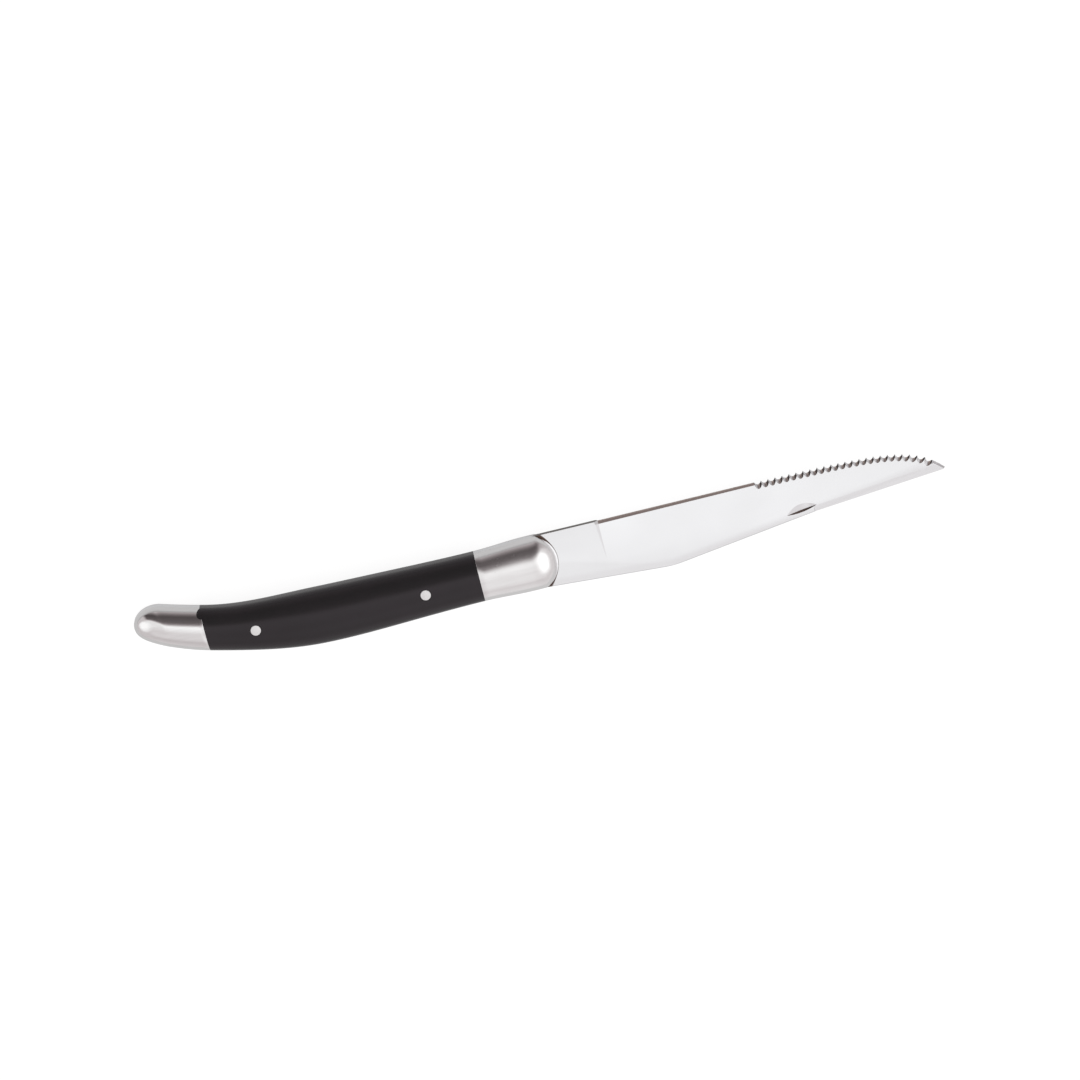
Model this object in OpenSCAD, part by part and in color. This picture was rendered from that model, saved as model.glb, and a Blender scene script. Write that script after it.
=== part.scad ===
// Table steak knife with a fixed blade: one steel plate runs from the point to the butt,
// with a pair of steel bolsters, a pair of black scales and a pair of steel end caps on it.
// It lies on its right side: +X to the point, +Y to the cutting edge, +Z up through the
// thickness. The origin is under the middle of the knife, on the surface that it lies on.

/* [Blade] */
// Length of the blade from the bolsters' nose to the point
blade_len = 111; // [100:1:120]
// Thickness of the plate that the blade and the tang are cut from
plate_t = 2; // [1.6:0.1:2.6]
// Length of the unground ricasso ahead of the nose
ricasso_len = 13.3; // [10:0.1:18]
// Height of the cutting edge above the handle's axis at the heel
edge_rise = 7.3; // [6:0.1:8.5]
// Drop of the point below the handle's axis
point_drop = 1.9; // [0.5:0.1:3]
// Size of the bevel that blunts the point on its spine side
point_bevel = 0.5; // [0.2:0.05:0.8]
// Drop below the axis at which the ground faces begin at the heel
grind_drop = 4; // [3:0.1:6]
// Drop below the axis from which the ground faces slope at the point
point_grind_drop = 10; // [8:0.1:12]
// Thickness that the grind leaves behind the edge at the heel
edge_t = 0.6; // [0.5:0.05:0.9]
// Thickness that the grind leaves behind the edge at the point
point_t = 0.4; // [0.3:0.05:0.6]

/* [Spine] */
// Distance from the nose to the deepest place of the spine
apex_from_nose = 31; // [25:0.5:36]
// Drop of the spine below the axis at its deepest place
apex_drop = 10.5; // [9:0.1:11.5]
// Radius that rounds the spine at its deepest place
apex_r = 30; // [10:1:40]
// Distance from the nose to the place where the spine turns towards the point
break_from_nose = 73; // [70:0.5:78]
// Drop of the spine below the axis where it turns
break_drop = 5.15; // [4.5:0.05:5.6]
// Width of the bevel along both corners of the spine
spine_bevel = 0.5; // [0.2:0.05:0.8]
// Width of the swedge, the false edge between the turn and the point
swedge_w = 2.4; // [1.6:0.1:3]
// Depth of each swedge face at the spine
swedge_depth = 0.35; // [0.2:0.05:0.5]

/* [Cutting edge] */
// Angle between the single ground face of the edge and the blade's side
edge_angle = 30; // [25:1:35]
// Height that honing takes off the plain edge
hone = 0.1; // [0.05:0.05:0.2]
// Length of plain edge from the heel to the first scallop
plain_len = 44.8; // [38:0.1:50]
// Length of plain edge left at the point
point_len = 2.8; // [2:0.1:5]
// Distance from scallop to scallop
scallop_pitch = 2; // [1.6:0.1:2.6]
// Depth of a scallop below the edge line
scallop_depth = 0.95; // [0.7:0.05:1.2]
// Rim radius of the wheel that grinds a scallop
scallop_r = 1.3; // [1.2:0.1:2.4]

/* [Nail nick] */
// Distance from the nose to the middle of the nail nick
nick_from_nose = 69.5; // [60:0.1:72]
// Length of the nail nick along the spine
nick_len = 9.5; // [6:0.1:11]
// Width of the nail nick's sloping floor, before the ground face shortens it
nick_w = 2.6; // [1:0.1:3]
// Width of the steep wall between the nail nick's deepest line and the spine
nick_wall_w = 0.6; // [0.2:0.1:0.8]
// Depth of the nail nick at its deepest line
nick_depth = 0.65; // [0.3:0.05:0.7]
// Distance from the spine to the nail nick's deepest line
nick_land = 1.75; // [1.2:0.05:2.4]

/* [Front bolsters] */
// Length of a bolster from its joint with the scale to the nose
bolster_len = 22.5; // [18:0.5:28]
// Length of the domed nose
nose_len = 7.9; // [6:0.1:10]
// Height of the oval that the dome follows, higher than the bolster, whose sides cut it off
dome_h = 16.3; // [15:0.1:18]
// Height of a bolster where the nose begins
nose_h = 15; // [14:0.1:16]
// Thickness over both bolsters where the nose begins
nose_t = 12.6; // [11:0.1:14]

/* [Scales] */
// Length of a scale between its two joints
scale_len = 77.5; // [70:0.5:85]
// Height of the handle at the front joint
joint_h = 13.9; // [13:0.1:15]
// Thickness of the handle at the front joint
joint_t = 12.4; // [11:0.1:14]
// Distance from the front joint to the fullest place of the handle
belly_from_joint = 45; // [35:0.5:50]
// Height of the handle at its fullest place
belly_h = 15.6; // [14.5:0.1:17]
// Thickness of the handle at its fullest place
belly_t = 13; // [12:0.1:15]
// Height of the handle at the rear joint
rear_h = 12.6; // [12:0.1:14]
// Thickness of the handle at the rear joint
rear_t = 11.2; // [10:0.1:13]
// Distance from the front joint to the place where the handle starts to curve
bend_from_joint = 24.7; // [20:0.1:40]
// Rise of the handle's centre line at the butt
butt_rise = 11.8; // [9:0.1:13]
// Radius of the lug that keys a scale into its end cap
lug_r = 1.15; // [0.8:0.05:1.4]
// Reach of the lug past the rear joint
lug_reach = 1.1; // [0.6:0.05:1.3]
// Gap round the lug
lug_fit = 0.05; // [0.02:0.01:0.15]

/* [End caps] */
// Length of an end cap
cap_len = 19; // [17:0.5:23]
// Height of an end cap behind the rear joint
cap_h = 11.3; // [11:0.1:13.5]
// Length over which the butt is rounded off
round_len = 8.6; // [6:0.1:12]
// Drop of the centre line over the rounded butt
butt_droop = 2.2; // [0.5:0.1:2.6]

/* [Tang] */
// Height of the tang inside the scales
tang_h = 9; // [8:0.1:10]
// Gap between the tang and the scales along its two edges
tang_fit = 0.1; // [0.05:0.01:0.2]

/* [Pins and dowels] */
// Diameter of the two pins through the scales
pin_d = 3; // [2:0.1:3.5]
// Distance from the front joint to the front pin
front_pin_from_joint = 15.6; // [12:0.1:20]
// Distance from the front joint to the rear pin
rear_pin_from_joint = 63.7; // [58:0.1:66]
// Radius of a pin's crowned head
pin_crown_r = 14; // [8:1:20]
// Diameter of the blind dowels in the bolsters and the end caps
dowel_d = 3; // [2:0.1:4]
// Depth of a dowel in each bolster or cap
dowel_bite = 2.5; // [1.5:0.1:3]
// Distance from the front joint to the bolsters' dowel
bolster_dowel_from_joint = 8; // [6:0.1:11]
// Distance from the rear joint to the end caps' dowel
cap_dowel_from_joint = 7; // [5:0.1:8]
// Gap between a pin or dowel and its hole, on the radius
pin_fit = 0.03; // [0.01:0.01:0.08]
// Gap past the end of a dowel in its blind hole
dowel_end_fit = 0.2; // [0.1:0.05:0.4]

/* [Hidden] */

// Places along the handle's axis, with zero at the front joint
rear_x = -scale_len;
butt_x = rear_x - cap_len;
nose_x = bolster_len;
nose_root_x = bolster_len - nose_len;
heel_x = nose_x + ricasso_len;
tip_x = nose_x + blade_len;
apex_x = nose_x + apex_from_nose;
break_x = nose_x + break_from_nose;
belly_x = -belly_from_joint;
bend_x = -bend_from_joint;
round_x = butt_x + round_len;

// Half sizes
plate_half = plate_t/2;
ground_len = tip_x - heel_x;

// Shape exponents and shares
section_power = 2.3;
bend_power = 3;
round_power = 1.8;
blunt_power = 2.15;
grind_power = 3;
point_swedge_share = 0.6;
cap_blend_share = 1;
edge_line_share = 0.055;
belly_share = 0.2;
belly_power = 5;
point_power = 14;
lug_rise_share = 0.8;

// Faces: steps round half a section, along each piece, along the edge and round cylinders
section_steps = 22;
scale_steps = 28;
bolster_steps = 5;
nose_steps = 12;
cap_steps = 6;
butt_steps = 14;
edge_steps = 60;
grind_steps = 16;
corner_steps = 8;
lug_rings = 3;
round_faces = 48;
crown_faces = 72;
wheel_faces = 240;

// Length by which a cut runs past what it cuts, and the reach of a ground face's cutter
overrun = plate_t;
reach_share = 0.25;
grind_reach = blade_len*reach_share;

// Angle of the bevels along the spine's corners
bevel_angle = 45;

steel = "#d6d6d9";
satin_steel = "#c3c2c6";
black = "#2d2b2c";

function ease(t) = (1 - cos(180*min(1, max(0, t))))/2;
function mix(a, b, w) = a + (b - a)*w;
function power_of(value, exponent) = value <= 0 ? 0 : pow(value, exponent);

// Height and thickness of the handle before its ends are rounded
function full_h(x) =
    x > 0 ? mix(joint_h, nose_h, ease(x/nose_root_x))
    : x > belly_x ? mix(joint_h, belly_h, ease(x/belly_x))
    : x > rear_x ? mix(belly_h, rear_h, ease((belly_x - x)/(belly_x - rear_x)))
    : mix(rear_h, cap_h, ease((rear_x - x)/cap_len/cap_blend_share));
function full_t(x) =
    x > 0 ? mix(joint_t, nose_t, ease(x/nose_root_x))
    : x > belly_x ? mix(joint_t, belly_t, ease(x/belly_x))
    : mix(belly_t, rear_t, ease((belly_x - x)/(belly_x - rear_x)));

// How far a place lies into the rounded butt or nose, from 0 to 1, and what is left there
function butt_share(x) = max(0, (round_x - x)/round_len);
function nose_share(x) = max(0, (x - nose_root_x)/nose_len);
function butt_closing(x) = power_of(1 - power_of(butt_share(x), round_power), 1/blunt_power);
function nose_closing(x) = sqrt(max(0, 1 - pow(nose_share(x), 2)));

// Centre line of the handle, and half its height and thickness at a place
function centre_y(x) =
    butt_rise*power_of((bend_x - x)/(bend_x - butt_x), bend_power)
    - butt_droop*pow(butt_share(x), 2);
function half_h(x) = min(full_h(x), dome_h*nose_closing(x))/2*butt_closing(x);
function half_t(x) = full_t(x)/2;

// One point of the oval half section at a place, and the half section itself, which starts
// with a straight band from base_z up to the plate's face where base_z lies lower than that
function oval(x, angle) = [
    x,
    centre_y(x) + half_h(x)*sign(cos(angle))*power_of(abs(cos(angle)), 2/section_power),
    plate_half + (half_t(x) - plate_half)*butt_closing(x)*nose_closing(x)
        *power_of(sin(angle), 2/section_power)
];
function half_ring(x, base_z) = concat(
    base_z < plate_half ? [[x, centre_y(x) + half_h(x), base_z]] : [],
    [for (i = [0:section_steps]) oval(x, 180*i/section_steps)],
    base_z < plate_half ? [[x, centre_y(x) - half_h(x), base_z]] : []
);

// Places of the rings, closer together where an end is rounded
bolster_xs = [for (i = [0:bolster_steps]) nose_root_x*i/bolster_steps];
nose_xs = [for (i = [1:nose_steps - 1]) nose_root_x + nose_len*sin(90*i/nose_steps)];
scale_xs = [for (i = [0:scale_steps]) rear_x + scale_len*i/scale_steps];
cap_xs = [for (i = [0:cap_steps]) rear_x - (cap_len - round_len)*i/cap_steps];
butt_xs = [for (i = [1:butt_steps - 1])
    round_x - round_len*pow(1 - pow(cos(90*i/butt_steps), blunt_power), 1/round_power)];
cap_ring_xs = concat(cap_xs, butt_xs);

// Height of the cutting edge: a slow straight fall at first, then down the belly to the point
function along_share(x) = (x - heel_x)/ground_len;
function edge_y(x) = edge_rise - (edge_rise + point_drop)
    *(edge_line_share*along_share(x) + belly_share*power_of(along_share(x), belly_power)
      + (1 - edge_line_share - belly_share)*power_of(along_share(x), point_power));
function edge_slope(x) = atan2(edge_y(x + overrun) - edge_y(x - overrun), 2*overrun);

// Half the thickness that the grind leaves at a place of the blade: its face slopes from the
// grind's line, which drops below the spine towards the point, up to the edge
function grind_y(x) = -mix(grind_drop, point_grind_drop, power_of(along_share(x), grind_power));
function edge_half(x) = mix(edge_t, point_t, along_share(x))/2;
function side_slope(x) = (plate_half - edge_half(x))/(edge_y(x) - grind_y(x));
function ground_half(x, y) = plate_half - side_slope(x)*(y - grind_y(x));

// The honed edge at a place: honing leaves the point itself whole, as thick as its swedges do
point_half = ground_half(tip_x, -point_drop)*point_swedge_share;
function honed(x) = x < tip_x ? [x, edge_y(x) - hone] : tip;
function honed_half(x) = x < tip_x ? ground_half(x, edge_y(x)) : point_half;

// Scallops, counted from the plain edge's end
scallops = floor((ground_len - plain_len - point_len)/scallop_pitch);
first_scallop_x = heel_x + plain_len;
last_scallop_x = first_scallop_x + scallops*scallop_pitch;

// Points of an arc that rounds the corner b between a and c
function toward(a, b) = (b - a)/norm(b - a);
function corner(a, b, c, r) =
    let (into = toward(a, b), out = toward(b, c))
    let (turn = acos(into*out))
    let (side = sign(into[0]*out[1] - into[1]*out[0]))
    let (start = b - into*r*tan(turn/2))
    let (centre = start + side*r*[-into[1], into[0]])
    [for (i = [0:corner_steps])
        let (a0 = atan2(-side*into[0], side*into[1]) + side*turn*i/corner_steps)
        centre + r*[cos(a0), sin(a0)]];

// Outline of the plate, along its top from the butt to the point and back along the spine
tip = [tip_x, -point_drop];
spine_end = [tip_x - point_bevel, -point_drop - point_bevel];
spine_root = [nose_root_x, -nose_h/2];
apex = [apex_x, -apex_drop];
spine_break = [break_x, -break_drop];
function mirrored(list) = [for (i = [len(list) - 1:-1:0]) list[i]];
function edge_line(xs, side) = [for (x = xs) [x, centre_y(x) + side*half_h(x)]];
function tang_line(side, extra) = [for (x = scale_xs) [x, centre_y(x) + side*(tang_h/2 + extra)]];
blade_edge = [for (i = [0:edge_steps])
    let (x = heel_x + ground_len*i/edge_steps)
    [x, edge_y(x)]];
plate_outline = concat(
    [[butt_x, centre_y(butt_x)]],
    mirrored(edge_line(cap_ring_xs, 1)),
    tang_line(1, 0),
    edge_line(bolster_xs, 1),
    blade_edge,
    [spine_end, spine_break],
    mirrored(corner(spine_root, apex, spine_break, apex_r)),
    mirrored(edge_line(bolster_xs, -1)),
    mirrored(tang_line(-1, 0)),
    edge_line(cap_ring_xs, -1)
);

// Frame of the whole knife
frame_x = (tip_x + butt_x)/2;
low_y = min([for (p = plate_outline) p[1]]);
high_y = max([for (p = plate_outline) p[1]]);
frame_y = (low_y + high_y)/2;
rest_z = max([for (x = concat(scale_xs, bolster_xs)) half_t(x)]);

module in_frame() {
    translate([-frame_x, -frame_y, rest_z]) children();
}

module right_side() {
    mirror([0, 0, 1]) children();
}

// Solid between half rings at the places xs, closed to one point at end_x where that is given
module half_loft(xs, base_z, end_x) {
    rings = [for (x = xs) half_ring(x, base_z)];
    count = len(rings[0]);
    last = len(rings) - 1;
    pole = count*(last + 1);
    points = concat([for (ring = rings, p = ring) p],
        is_undef(end_x) ? [] : [[end_x, centre_y(end_x), base_z]]);
    sides = [for (r = [0:last - 1], i = [0:count - 1])
        let (a = r*count + i, b = r*count + (i + 1) % count)
        each [[a, b + count, b], [a, a + count, b + count]]];
    start_face = [[for (i = [0:count - 1]) i]];
    end_face = is_undef(end_x)
        ? [[for (i = [count - 1:-1:0]) last*count + i]]
        : [for (i = [0:count - 1]) [last*count + (i + 1) % count, last*count + i, pole]];
    faces = concat(sides, start_face, end_face);
    forward = xs[1] > xs[0];
    polyhedron(points, forward ? faces : [for (f = faces) mirrored(f)], convexity = 4);
}

// Space above a ground face that holds the line from p at height zp to q at height zq and
// falls away to the left of that line by the angle, with a run-out of 45 degrees at each end
module ground_space(p, q, zp, zq, angle) {
    run = norm(q - p);
    translate([p[0], p[1], zp])
        rotate([0, 0, atan2(q[1] - p[1], q[0] - p[0])])
            rotate([0, -atan2(zq - zp, run), 0])
                rotate([-angle, 0, 0])
                    translate([0, grind_reach, 0])
                        rotate([90, 0, 0])
                            linear_extrude(2*grind_reach)
                                polygon([[0, 0], [run, 0],
                                    [run + grind_reach, grind_reach],
                                    [-grind_reach, grind_reach]]);
}

// A cross-section of the room over a ground face at a place, raised by lift
function grind_section(x, lift) =
    let (at_x = min(tip_x, max(heel_x, x)))
    [for (y = [grind_y(at_x) - overrun, edge_rise + overrun])
        each [[x, y, ground_half(at_x, y) + lift], [x, y, plate_t + lift]]];

// The room over the wide ground face that thins one side of the blade. It starts at the plunge
// line with a run-out of 45 degrees
module side_grind() {
    sections = concat(
        [grind_section(heel_x - plate_t, plate_t)],
        [for (i = [0:grind_steps]) grind_section(heel_x + ground_len*i/grind_steps, 0)],
        [grind_section(tip_x + overrun, 0)]
    );
    last = 4*(len(sections) - 1);
    ring = [0, 1, 3, 2];
    sides = [for (r = [0:len(sections) - 2], i = [0:3])
        let (a = 4*r + ring[i], b = 4*r + ring[(i + 1) % 4])
        each [[a, b, b + 4], [a, b + 4, a + 4]]];
    ends = [mirrored(ring), [for (i = ring) last + i]];
    polyhedron([for (section = sections, p = section) p], concat(sides, ends), convexity = 4);
}

// The narrow face that makes the plain edge between two places
module edge_grind(from_x, to_x) {
    ground_space(honed(from_x), honed(to_x), -honed_half(from_x), -honed_half(to_x), edge_angle);
}

// One scallop: the rim of a wheel that runs slanting off the edge
module scallop(x) {
    y = edge_y(x);
    wheel_len = grind_reach/2;
    translate([x, y, -ground_half(x, y)])
        rotate([0, 0, edge_slope(x)])
            translate([0, -scallop_depth, 0])
                rotate([-(90 + edge_angle), 0, 0])
                    translate([0, -scallop_r, -wheel_len/2])
                        cylinder(h = wheel_len, r = scallop_r, $fn = round_faces);
}

// The two bevels of the spine and the swedge on one side
module spine_grind() {
    side_out = plate_half - spine_bevel/2;
    ground_space(spine_break, apex, side_out, side_out, bevel_angle);
    ground_space(apex, spine_root, side_out, side_out, bevel_angle);
    swedge_angle = atan(swedge_depth/swedge_w);
    past_end = spine_end + toward(spine_break, spine_end)*overrun;
    ground_space(past_end, spine_break, point_half, plate_half - swedge_depth, swedge_angle);
}

// The half-moon cut for a finger nail: a steep wall towards the spine and a sloping floor
module nail_nick() {
    wheel_r = (pow(nick_len/2, 2) + pow(nick_depth, 2))/(2*nick_depth);
    floor_fall = nick_depth/nick_w;
    wall_fall = nick_depth/nick_wall_w;
    spine_angle = atan2(apex_drop - break_drop, break_x - apex_x);
    nick_x = nose_x + nick_from_nose;
    spine_y = -break_drop - tan(spine_angle)*(break_x - nick_x);
    translate([nick_x, spine_y + nick_land/cos(spine_angle), plate_half + wheel_r - nick_depth])
        rotate([0, 0, spine_angle])
            rotate([-90, 0, 0])
                rotate_extrude($fn = wheel_faces)
                    polygon([[0, -nick_w], [wheel_r - nick_w*wall_fall, -nick_w], [wheel_r, 0],
                        [wheel_r - 2*nick_w*floor_fall, 2*nick_w], [0, 2*nick_w]]);
}

module pin_hole(x, d) {
    hole_len = belly_t + 2*overrun;
    translate([x, centre_y(x), -hole_len/2])
        cylinder(h = hole_len, d = d + 2*pin_fit, $fn = round_faces);
}

module blade() {
    color(steel) in_frame() difference() {
        translate([0, 0, -plate_half]) linear_extrude(plate_t) polygon(plate_outline);
        side_grind();
        right_side() side_grind();
        edge_grind(heel_x, first_scallop_x);
        edge_grind(last_scallop_x, tip_x);
        for (i = [0:scallops - 1]) scallop(first_scallop_x + (i + 1/2)*scallop_pitch);
        spine_grind();
        right_side() spine_grind();
        nail_nick();
        pin_hole(-front_pin_from_joint, pin_d);
        pin_hole(-rear_pin_from_joint, pin_d);
        pin_hole(bolster_dowel_from_joint, dowel_d);
        pin_hole(rear_x - cap_dowel_from_joint, dowel_d);
    }
}

// A blind hole for a dowel, from the plate into the piece beside it
module dowel_hole(x) {
    translate([x, centre_y(x), plate_half - overrun])
        cylinder(h = overrun + dowel_bite + dowel_end_fit, d = dowel_d + 2*pin_fit, $fn = round_faces);
}

module bolster() {
    difference() {
        half_loft(concat(bolster_xs, nose_xs), plate_half, nose_x);
        dowel_hole(bolster_dowel_from_joint);
    }
}

module front_bolster_left() {
    color(satin_steel) in_frame() bolster();
}

module front_bolster_right() {
    color(satin_steel) in_frame() right_side() bolster();
}

// The round lug that keys a scale into its cap, made wider by extra for the cap's notch
module lug(extra) {
    lug_x = rear_x + lug_r - lug_reach;
    translate([lug_x, centre_y(rear_x) + lug_rise_share*half_h(rear_x), plate_half - extra])
        cylinder(h = rear_t, r = lug_r + extra, $fn = round_faces);
}

// Everything behind the rear joint
module behind_joint() {
    translate([rear_x - cap_len, -belly_h, -overrun])
        cube([cap_len, butt_rise + 2*belly_h, overrun + belly_t]);
}

module scale_half() {
    lug_xs = [for (i = [lug_rings:-1:1]) cap_ring_xs[i]];
    difference() {
        half_loft(concat(lug_xs, scale_xs), 0);
        difference() {
            behind_joint();
            lug(0);
        }
        translate([0, 0, -overrun]) linear_extrude(overrun + plate_half)
            polygon(concat(tang_line(1, tang_fit), mirrored(tang_line(-1, tang_fit))));
        pin_hole(-front_pin_from_joint, pin_d);
        pin_hole(-rear_pin_from_joint, pin_d);
    }
}

module scale_left() {
    color(black) in_frame() scale_half();
}

module scale_right() {
    color(black) in_frame() right_side() scale_half();
}

module end_cap() {
    difference() {
        half_loft(cap_ring_xs, plate_half, butt_x);
        lug(lug_fit);
        dowel_hole(rear_x - cap_dowel_from_joint);
    }
}

module end_cap_left() {
    color(satin_steel) in_frame() end_cap();
}

module end_cap_right() {
    color(satin_steel) in_frame() right_side() end_cap();
}

// A pin through both scales, with a low crown at each end
module pin(x) {
    reach = half_t(x);
    crown_z = reach - pin_crown_r;
    in_frame() translate([x, centre_y(x), 0]) intersection() {
        translate([0, 0, -reach]) cylinder(h = 2*reach, d = pin_d, $fn = round_faces);
        translate([0, 0, crown_z]) sphere(r = pin_crown_r, $fn = crown_faces);
        translate([0, 0, -crown_z]) sphere(r = pin_crown_r, $fn = crown_faces);
    }
}

module front_pin() {
    color(steel) pin(-front_pin_from_joint);
}

module rear_pin() {
    color(steel) pin(-rear_pin_from_joint);
}

module dowel(x) {
    dowel_len = plate_t + 2*dowel_bite;
    in_frame() translate([x, centre_y(x), -dowel_len/2])
        cylinder(h = dowel_len, d = dowel_d, $fn = round_faces);
}

module bolster_dowel() {
    color(steel) dowel(bolster_dowel_from_joint);
}

module cap_dowel() {
    color(steel) dowel(rear_x - cap_dowel_from_joint);
}

blade();
front_bolster_left();
front_bolster_right();
scale_left();
scale_right();
end_cap_left();
end_cap_right();
front_pin();
rear_pin();
bolster_dowel();
cap_dowel();
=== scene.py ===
"""Table steak knife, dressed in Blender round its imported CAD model.

The knife lies on its right side, as the CAD frame has it: +X to the point, +Y to the cutting
edge and +Z up through the thickness, in metres. The sections follow the way the knife is put
together: the studio that it is shown in, the blade, the bolsters, the scales, the end caps,
the pins and the dowels.
"""

import math

import bmesh
import bpy
from mathutils import Matrix, Vector


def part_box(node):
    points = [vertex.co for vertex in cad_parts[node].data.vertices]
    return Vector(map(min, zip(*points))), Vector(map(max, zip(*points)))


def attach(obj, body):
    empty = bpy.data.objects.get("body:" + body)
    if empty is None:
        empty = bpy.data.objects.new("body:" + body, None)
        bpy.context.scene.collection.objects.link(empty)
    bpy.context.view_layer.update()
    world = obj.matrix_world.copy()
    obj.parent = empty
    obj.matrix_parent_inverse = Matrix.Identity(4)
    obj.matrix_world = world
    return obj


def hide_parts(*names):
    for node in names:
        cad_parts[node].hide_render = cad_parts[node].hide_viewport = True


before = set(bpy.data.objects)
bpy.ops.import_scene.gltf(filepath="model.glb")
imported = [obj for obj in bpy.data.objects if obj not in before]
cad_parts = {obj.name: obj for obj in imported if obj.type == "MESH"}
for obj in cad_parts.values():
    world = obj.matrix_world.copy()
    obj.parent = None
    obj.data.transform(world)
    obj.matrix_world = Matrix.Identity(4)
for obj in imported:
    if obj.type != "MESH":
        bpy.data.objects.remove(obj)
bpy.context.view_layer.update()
MM = 0.001


# Studio: a white table in a white light tent. The tent is open towards the camera, which puts
# the dark band on polished steel, and a soft box stands past each end of the knife.
# None of it belongs to the knife.
TABLE_WIDTH = 3.0
TABLE_WHITE = (0.93, 0.93, 0.93, 1)
TABLE_GLOW = 0.9
TABLE_DULLNESS = 0.24
MIRRORED_GLOW = 0.5
FAR_GLOW = 0.28
FAR_TABLE = (0.02, 0.09)
TENT_LIGHT = 1.16
TENT_PANELS = (
    (-180, 0.80), (-85, 0.78), (-54, 0.65), (-44, 0.79), (-35, 0.86), (-19, 0.78), (-12, 0.93),
    (-3, 1.05), (0, 0.78), (4, 0.42), (9, 0.20), (15, 0.12), (44, 0.08), (55, 0.12), (68, 0.24),
    (80, 0.38), (94, 0.58), (112, 0.76), (180, 0.82),
)
OPENING_TAPER = (60, 70)
OPENING_EDGE = -5
END_LIGHT = 0.82
BUTT_END = (-0.70, -0.52)
POINT_END = (0.35, 1.1)
BUTT_END_SHADE = 0.2
BUTT_END_REACH = (0.0, 0.2)
POINT_END_SHADE = 0.12
POINT_END_REACH = (0.0, 0.13)
POINT_BOX = (Vector((0.66, -0.12, 0.74)), 19, 1.5)
BUTT_BOX = (Vector((-0.80, 0.03, 0.60)), 18, 1.2)
BOX_EDGE = 9
ROOM_TINT = (1.12, 0.96, 0.98, 1)
WHITE = (1, 1, 1, 1)

CAMERA_DISTANCE = 1.1055
CAMERA_FIELD = math.radians(15.5)
CAMERA_TILT = math.radians(15)
CAMERA_ROLL = math.radians(14)
CAMERA_AIM = Vector((0.4, 3.84, 6.5)) * MM


class Wire:
    """A value in a node tree. A sum written on it adds its Math nodes to the tree."""

    def __init__(self, socket):
        self.socket = socket

    def math(self, operation, *values):
        made = self.socket.id_data.nodes.new("ShaderNodeMath")
        made.operation = operation
        for place, value in enumerate(values):
            if isinstance(value, Wire):
                self.socket.id_data.links.new(value.socket, made.inputs[place])
            else:
                made.inputs[place].default_value = value
        return Wire(made.outputs[0])

    def at_least(self, other):
        return self.math("MAXIMUM", self, other)

    def at_most(self, other):
        return self.math("MINIMUM", self, other)

    def __add__(self, other):
        return self.math("ADD", self, other)

    def __radd__(self, other):
        return self.math("ADD", other, self)

    def __sub__(self, other):
        return self.math("SUBTRACT", self, other)

    def __rsub__(self, other):
        return self.math("SUBTRACT", other, self)

    def __mul__(self, other):
        return self.math("MULTIPLY", self, other)

    def __rmul__(self, other):
        return self.math("MULTIPLY", other, self)

    def __abs__(self):
        return self.math("ABSOLUTE", self)


class Finish:
    """The node tree of a material or of the world, with one method that adds any node."""

    def __init__(self, tree):
        self.tree = tree
        self.tree.nodes.clear()

    def node(self, kind, settings, sockets, out=None):
        made = self.tree.nodes.new(kind)
        for name, value in settings.items():
            if name == "stops":
                self.set_stops(made.color_ramp.elements, value)
            else:
                setattr(made, name, value)
        for name, value in sockets.items():
            if isinstance(value, Wire):
                self.tree.links.new(value.socket, made.inputs[name])
            else:
                made.inputs[name].default_value = value
        return None if out is None else Wire(made.outputs[out])

    def set_stops(self, stops, levels):
        """Gives a ramp its stops: pairs of a place and a grey level, in order."""
        while len(stops) < len(levels):
            stops.new(1)
        for stop, (place, level) in zip(stops, levels):
            stop.position = place
            stop.color = (level, level, level, 1)

    def axes(self, vector):
        """The three numbers of a vector, each as a wire."""
        kind = "ShaderNodeSeparateXYZ"
        return [self.node(kind, {}, {"Vector": vector}, axis) for axis in ("X", "Y", "Z")]

    def step(self, value, low, high):
        """0 where value is below low, 1 where it is above high, and smooth between them."""
        settings = {"interpolation_type": "SMOOTHSTEP"}
        sockets = {"Value": value, "From Min": low, "From Max": high}
        return self.node("ShaderNodeMapRange", settings, sockets, "Result")


def new_finish(name):
    """A new material, and the finish that its node tree is written with."""
    material = bpy.data.materials.new(name)
    material.use_nodes = True
    return material, Finish(material.node_tree)


def colour_mix(finish, factor, first, second):
    """A colour that goes from first to second as factor goes from 0 to 1."""
    settings = {"data_type": "RGBA"}
    return finish.node("ShaderNodeMix", settings, {0: factor, 6: first, 7: second}, 2)


def white_table():
    """The table's finish: dull white paint that glows to the camera and to steel that mirrors it.

    Steel sees less of the glow in the far part of the table, past the cutting edge.
    """
    material, paint = new_finish("white_table")
    to_camera = paint.node("ShaderNodeLightPath", {}, {}, "Is Camera Ray")
    to_steel = paint.node("ShaderNodeLightPath", {}, {}, "Is Glossy Ray")
    seen = to_camera.at_least(to_steel)
    across = paint.axes(paint.node("ShaderNodeNewGeometry", {}, {}, "Position"))[1]
    mirrored = MIRRORED_GLOW + (FAR_GLOW - MIRRORED_GLOW) * paint.step(across, *FAR_TABLE)
    glow_level = to_camera * TABLE_GLOW + to_steel * mirrored
    dull = paint.node("ShaderNodeBsdfDiffuse", {}, {"Color": TABLE_WHITE}, "BSDF")
    dimmed = paint.node("ShaderNodeMixShader", {}, {0: seen * (1 - TABLE_DULLNESS), 1: dull}, 0)
    glow = paint.node("ShaderNodeEmission", {}, {"Strength": glow_level}, "Emission")
    both = paint.node("ShaderNodeAddShader", {}, {0: dimmed, 1: glow}, 0)
    paint.node("ShaderNodeOutputMaterial", {}, {"Surface": both})
    return material


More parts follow.
